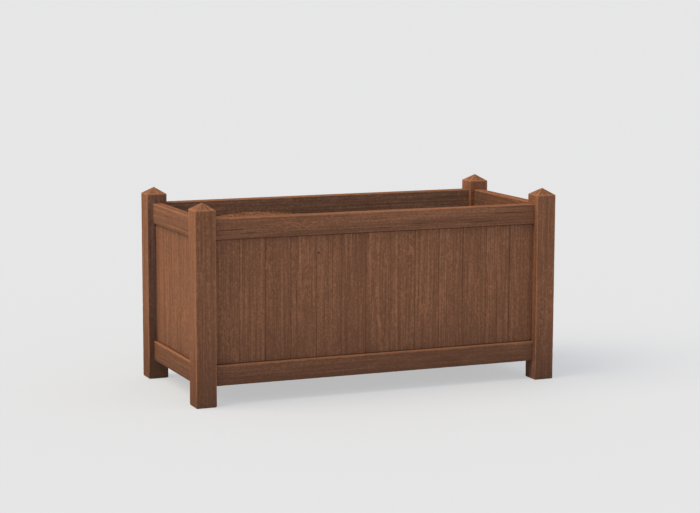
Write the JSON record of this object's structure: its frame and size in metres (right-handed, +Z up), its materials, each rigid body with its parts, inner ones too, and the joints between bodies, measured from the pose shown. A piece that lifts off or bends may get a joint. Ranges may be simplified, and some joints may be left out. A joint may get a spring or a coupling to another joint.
{
  "type": "rectangular garden planter",
  "caption": "Rectangular hardwood trough planter: square posts with pyramid tops, framed walls of upright tongue-and-groove boards, a slatted floor, a liner and soil.",
  "frame": {"origin": "on the ground, at the middle of the footprint", "axes": "+X along the length to the right as seen from the front, +Y from the front wall to the back wall, +Z up"},
  "size_m": [1.005, 0.453, 0.5132],
  "materials": {
    "post_wood": "satin",
    "rail_wood": "satin",
    "board_wood": "satin",
    "floor_wood": "matte",
    "screw_steel": "satin",
    "liner_plastic": "matte",
    "soil": "matte"
  },
  "bodies": {
    "root": {"back_board_01": "board_wood", "back_board_02": "board_wood", "back_board_03": "board_wood", "back_board_04": "board_wood", "back_board_05": "board_wood", "back_board_06": "board_wood", "back_board_07": "board_wood", "back_board_08": "board_wood", "back_board_09": "board_wood", "back_board_10": "board_wood", "back_board_11": "board_wood", "back_board_12": "board_wood", "back_board_13": "board_wood", "bottom_rail_back": "rail_wood", "bottom_rail_front": "rail_wood", "bottom_rail_left": "rail_wood", "bottom_rail_right": "rail_wood", "cleat_screws": "screw_steel", "floor_cleat_back": "floor_wood", "floor_cleat_front": "floor_wood", "floor_slat_1": "floor_wood", "floor_slat_2": "floor_wood", "floor_slat_3": "floor_wood", "floor_slat_4": "floor_wood", "floor_slat_5": "floor_wood", "floor_slat_6": "floor_wood", "front_board_01": "board_wood", "front_board_02": "board_wood", "front_board_03": "board_wood", "front_board_04": "board_wood", "front_board_05": "board_wood", "front_board_06": "board_wood", "front_board_07": "board_wood", "front_board_08": "board_wood", "front_board_09": "board_wood", "front_board_10": "board_wood", "front_board_11": "board_wood", "front_board_12": "board_wood", "front_board_13": "board_wood", "left_board_1": "board_wood", "left_board_2": "board_wood", "left_board_3": "board_wood", "left_board_4": "board_wood", "left_board_5": "board_wood", "liner": "liner_plastic", "post_back_left": "post_wood", "post_back_right": "post_wood", "post_front_left": "post_wood", "post_front_right": "post_wood", "right_board_1": "board_wood", "right_board_2": "board_wood", "right_board_3": "board_wood", "right_board_4": "board_wood", "right_board_5": "board_wood", "soil": "soil", "top_rail_back": "rail_wood", "top_rail_front": "rail_wood", "top_rail_left": "rail_wood", "top_rail_right": "rail_wood"}
  },
  "joints": []
}
